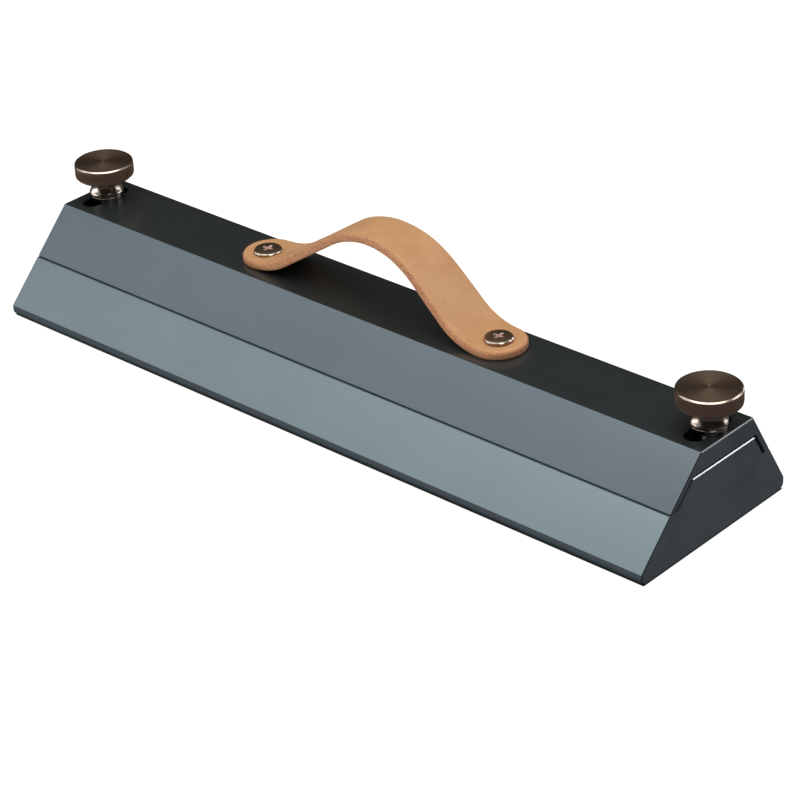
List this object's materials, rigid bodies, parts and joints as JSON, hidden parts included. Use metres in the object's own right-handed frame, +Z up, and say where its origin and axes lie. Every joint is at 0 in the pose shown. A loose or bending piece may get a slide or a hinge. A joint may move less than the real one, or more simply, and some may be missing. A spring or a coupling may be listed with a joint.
{
  "type": "hand sanding block",
  "caption": "Long trapezoidal aluminium sanding block whose clamp cap is drawn down by knurled thumb screws to hold abrasive paper, with an arched leather strap handle on top.",
  "frame": {"origin": "centre of the sole, on the plane that lies on the abrasive paper", "axes": "+X along the block's length to the right, +Y across it to the rear, where the steeper flank is, +Z up from the sole"},
  "size_m": [0.2858, 0.0708, 0.0596],
  "materials": {
    "base_metal": "satin blue-grey anodised extrusion",
    "cap_metal": "satin blue-grey anodised extrusion, the top face near black",
    "strap_leather": "natural vegetable-tanned leather, smooth grain side up, raw cut edges",
    "screw_steel": "black-nickel plated steel",
    "knob_metal": "turned and black-nickel plated, straight-knurled rim",
    "stud_steel": "zinc-plated screw thread"
  },
  "bodies": {
    "base": {"base_block": "base_metal"},
    "cap": {"clamp_cap": "cap_metal", "handle_strap": "strap_leather", "strap_screw_left": "screw_steel", "strap_screw_right": "screw_steel"},
    "left_washer": {"knob_washer_left": "screw_steel"},
    "left_thumb_screw": {"knob_left": "knob_metal", "knob_stud_left": "stud_steel"},
    "right_washer": {"knob_washer_right": "screw_steel"},
    "right_thumb_screw": {"knob_right": "knob_metal", "knob_stud_right": "stud_steel"}
  },
  "joints": [
    {"name": "cap_lift", "type": "slide", "parent": "base", "child": "cap", "axis": [0, 0, 1], "range_m": [0, 0.02]},
    {"name": "left_knob_rise", "type": "slide", "parent": "cap", "child": "left_washer", "axis": [0, 0, 1], "range_m": [0, 0.015]},
    {"name": "left_knob_turn", "type": "hinge", "parent": "left_washer", "child": "left_thumb_screw", "pos_m": [-0.1325, 0.00682, 0.0338], "axis": [0, 0, 1], "range_deg": [0, 5400]},
    {"name": "right_knob_rise", "type": "slide", "parent": "cap", "child": "right_washer", "axis": [0, 0, 1], "range_m": [0, 0.015]},
    {"name": "right_knob_turn", "type": "hinge", "parent": "right_washer", "child": "right_thumb_screw", "pos_m": [0.1325, 0.00682, 0.0338], "axis": [0, 0, 1], "range_deg": [0, 5400]}
  ],
  "couplings": [
    {"joint": "left_knob_turn", "follows": "left_knob_rise", "rad_per_m": 6283.2},
    {"joint": "right_knob_turn", "follows": "right_knob_rise", "rad_per_m": 6283.2}
  ]
}
